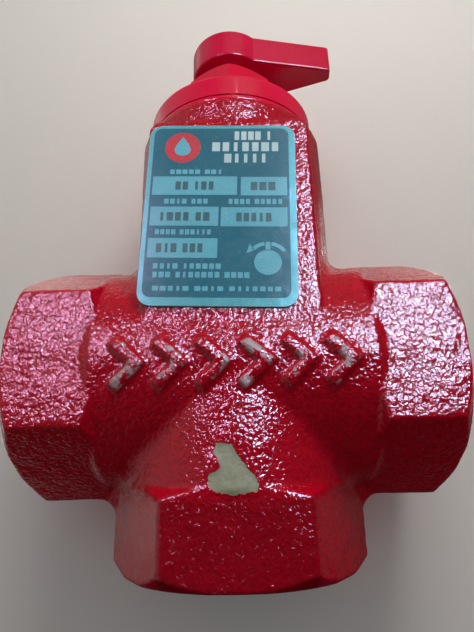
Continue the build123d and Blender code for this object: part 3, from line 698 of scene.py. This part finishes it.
def paint_solids():
    # The cap's enamel is a lighter red than the lever's, the nut's and the casting's, partly as painted
    # light for the brighter light on the cap.
    paint(smooth_enamel("cap_enamel", (0.60, 0.003, 0.036), (0.72, 0.005, 0.052)), "bonnet")
    paint(smooth_enamel("lever_enamel", (0.46, 0.002, 0.030), (0.58, 0.004, 0.050), peel=0.05), "lever")
    paint(smooth_enamel("nut_enamel", (0.52, 0.003, 0.028), (0.64, 0.005, 0.044)), "packing_nut")
    foil = foil_look("plate_foil", (0.06, 0.34, 0.39), (0.13, 0.46, 0.52), rough=0.20, metal=0.10)
    paint(foil, "nameplate")
    steel = turned_metal("steel", (0.42, 0.42, 0.41), (0.60, 0.60, 0.58), 0.28)
    paint(steel, "stem", "guide_key", "cross_pin")
    zinc = turned_metal("zinc_steel", (0.50, 0.50, 0.46), (0.66, 0.66, 0.62), 0.30)
    paint(zinc, "lock_washer", "lever_screw", "lifter_nut")
    brass = turned_metal("brass", (0.55, 0.36, 0.12), (0.74, 0.53, 0.22), 0.27)
    paint(brass, "guide_sleeve", "thrust_washer", "packing_washer", "packing_gland")
    paint(brass, "check_disc", "disc_nose")
    paint(turned_metal("bronze", (0.42, 0.24, 0.09), (0.60, 0.38, 0.17), 0.30), "seat_ring", "lifter")
    paint(dull_look("facing_rubber", (0.012, 0.012, 0.012), (0.03, 0.03, 0.03), 0.55), "disc_facing")
    paint(dull_look("gasket_fibre", (0.020, 0.012, 0.010), (0.05, 0.03, 0.025), 0.8), "bonnet_gasket")
    paint(braid_look(), "packing_ring_1", "packing_ring_2", "packing_ring_3")


# ---- stage, light and camera ---------------------------------------------------------------------
def one_sided(name, tone):
    """Pale matt surface, clear from behind and far off, and clear to shadow and diffuse rays.

    Mirror images show painted light on it: painted lit low on the left and behind the valve, and painted
    dark elsewhere.
    """
    look = Look(name)
    darker, mirror_gain, mirror_painted_shade = 0.97, 1.45, (0.0, 0.0, 0.0)
    fade_from, fade_to = 110.0, 330.0
    steep_cosine = 0.8
    speckle = look.noise(2.0, detail=4.0)
    colour = look.blend(speckle, tuple(darker * c for c in tone), tone)
    place = look.parts(look.place)
    # Painted light for mirror rays: the floor is lit low on the left and behind the valve, and painted black
    # elsewhere.
    low = look.span(place["X"], -20.0, -60.0, 0.15, 0.95)
    low = look.calc("MULTIPLY", low, look.span(place["Z"], -70.0, -30.0))
    upper = look.span(place["Z"], -20.0, 10.0)
    upper = look.calc("MULTIPLY", upper, look.span(place["Z"], 62.0, 46.0, 0.1, 1.0))
    lit = look.calc("MAXIMUM", low, upper)
    mirrored = look.blend(lit, mirror_painted_shade, tuple(mirror_gain * c for c in tone))
    path = look.node("ShaderNodeLightPath")
    colour = look.blend(path.outputs["Is Glossy Ray"], colour, mirrored)
    look.set(Base_Color=colour, Roughness=0.75, Specular_IOR_Level=0.0)
    facing = look.node("ShaderNodeNewGeometry")
    heading = look.parts(facing.outputs["Incoming"])
    steep = look.calc("GREATER_THAN", look.calc("ABSOLUTE", heading["Y"]), steep_cosine)
    steep = look.calc("MULTIPLY", steep, path.outputs["Is Glossy Ray"])
    length = look.node("ShaderNodeVectorMath", operation="LENGTH")
    look.put(length.inputs[0], look.place)
    hidden = look.span(length.outputs["Value"], fade_from, fade_to)
    for reason in (steep, facing.outputs["Backfacing"]):
        hidden = look.calc("MAXIMUM", hidden, reason)
    for kind in ("Is Shadow Ray", "Is Diffuse Ray"):
        hidden = look.calc("MAXIMUM", hidden, path.outputs[kind])
    clear = look.node("ShaderNodeBsdfTransparent")
    choice = look.node("ShaderNodeMixShader")
    look.put(choice.inputs[0], hidden)
    look.put(choice.inputs[1], look.shader.outputs[0])
    look.put(choice.inputs[2], clear.outputs[0])
    look.put(look.tree.nodes["Material Output"].inputs["Surface"], choice.outputs[0])
    return look.material


def floor():
    """The table that the valve lies on, flat against the rear of the casting."""
    reach = 1500.0
    corners = ((-reach, -reach), (reach, -reach), (reach, reach), (-reach, reach))
    mesh = bpy.data.meshes.new("floor")
    mesh.from_pydata([(MM * x, MM * TABLE_Y, MM * z) for x, z in corners], [], [(0, 1, 2, 3)])
    mesh.materials.append(one_sided("pale_floor", FLOOR_TONE))
    add_object("floor", mesh)


def softbox(name, azimuth, elevation, distance, size, radiance, colour=WHITE):
    """Area light that faces the origin, its size and distance in metres.

    Azimuth 0 is in front of the plate and grows towards +X.
    """
    light = bpy.data.lights.new(name, "AREA")
    light.shape = "RECTANGLE"
    light.size, light.size_y = size
    light.energy = radiance * math.pi * size[0] * size[1]
    light.color = colour
    obj = add_object(name, light)
    az, el = math.radians(azimuth), math.radians(elevation)
    back = Vector((math.sin(az) * math.cos(el), -math.cos(az) * math.cos(el), math.sin(el)))
    obj.location = back * distance
    obj.rotation_mode = "QUATERNION"
    obj.rotation_quaternion = back.to_track_quat("Z", "Y")
    return obj


def world_light():
    """Room light, stronger from above; mirrored dark below and lighter on the left; seen as pale."""
    world = bpy.data.worlds.new("studio")
    world.use_nodes = True
    seen_strength = 0.58
    graph = Graph(world.node_tree)
    way = graph.parts(graph.node("ShaderNodeTexCoord").outputs["Generated"])
    shading = graph.span(way["Z"], -0.95, 0.5, 0.13, 0.52)
    mirrored = graph.span(way["Z"], -0.3, 1.0, 0.02, 0.20)
    left = graph.span(way["X"], -0.3, -0.9, 0.0, 0.45)
    mirrored = graph.calc("ADD", mirrored, left)
    path = graph.node("ShaderNodeLightPath")
    strength = graph.level(path.outputs["Is Glossy Ray"], shading, mirrored)
    seen = path.outputs["Is Camera Ray"]
    strength = graph.level(seen, strength, seen_strength)
    shade = graph.tree.nodes["Background"]
    graph.put(shade.inputs["Color"], graph.blend(seen, WORLD_LIGHT, WORLD_SEEN))
    graph.put(shade.inputs["Strength"], strength)
    bpy.context.scene.world = world


def strips(name, azimuths, elevation, size, radiance, colour=WHITE):
    """A row of strip lights that only the glossy surfaces see, as small bright reflections."""
    distance = 0.8
    for index, azimuth in enumerate(azimuths):
        strip = softbox(f"{name}_{index}", azimuth, elevation, distance, size, radiance, colour)
        strip.visible_diffuse = False


def lights():
    """A close top light for the shading, strips that the enamel sparkles with, and lights for the rear."""
    top = softbox("top", 15, 54, distance=0.28, size=(0.16, 0.12), radiance=9.2, colour=WARM)
    strips("right_strip", (14, 21, 28), 22.5, size=(0.036, 0.38), radiance=118, colour=COOL)
    strips("left_strip", (-20, -28), 22.5, size=(0.036, 0.37), radiance=64, colour=PINK)
    strips("cap_glint", (9,), 43.5, size=(0.022, 0.04), radiance=20, colour=GLINT)
    rear = softbox("rear", 160, 22, distance=0.9, size=(0.45, 0.45), radiance=5.0)
    rear_left = softbox("rear_left", 205, 10, distance=0.9, size=(0.25, 0.5), radiance=3.5)
    for shading_only in (top, rear, rear_left):
        shading_only.visible_glossy = False
    strips("rear_strip", (150,), 12, size=(0.06, 0.5), radiance=5)
    strips("rear_high", (180,), 62, size=(0.40, 0.06), radiance=4)


def camera():
    """Close, in front of the valve and below its middle, looking up a little."""
    place = (2.15, -100.1, -20.4)
    pitch, yaw, roll = (math.radians(a) for a in (18.525, -0.9645, -1.285))
    cam = bpy.data.cameras.new("camera")
    cam.sensor_width = 36.0
    cam.lens = 27.65
    cam.clip_start, cam.clip_end = 0.005, 10.0
    obj = add_object("camera", cam)
    look = Vector((math.sin(yaw) * math.cos(pitch), math.cos(yaw) * math.cos(pitch), math.sin(pitch)))
    right = look.cross(Vector((0, 0, 1))).normalized()
    up = right.cross(look)
    right, up = right * math.cos(roll) + up * math.sin(roll), up * math.cos(roll) - right * math.sin(roll)
    obj.rotation_mode = "QUATERNION"
    obj.rotation_quaternion = Matrix((right, up, -look)).transposed().to_quaternion()
    obj.location = Vector(place) * MM
    bpy.context.scene.camera = obj


body_piece(casting_look())
port_threads()
nameplate_print()
paint_solids()
floor()
world_light()
lights()
camera()
bpy.context.scene.view_settings.view_transform = "Standard"
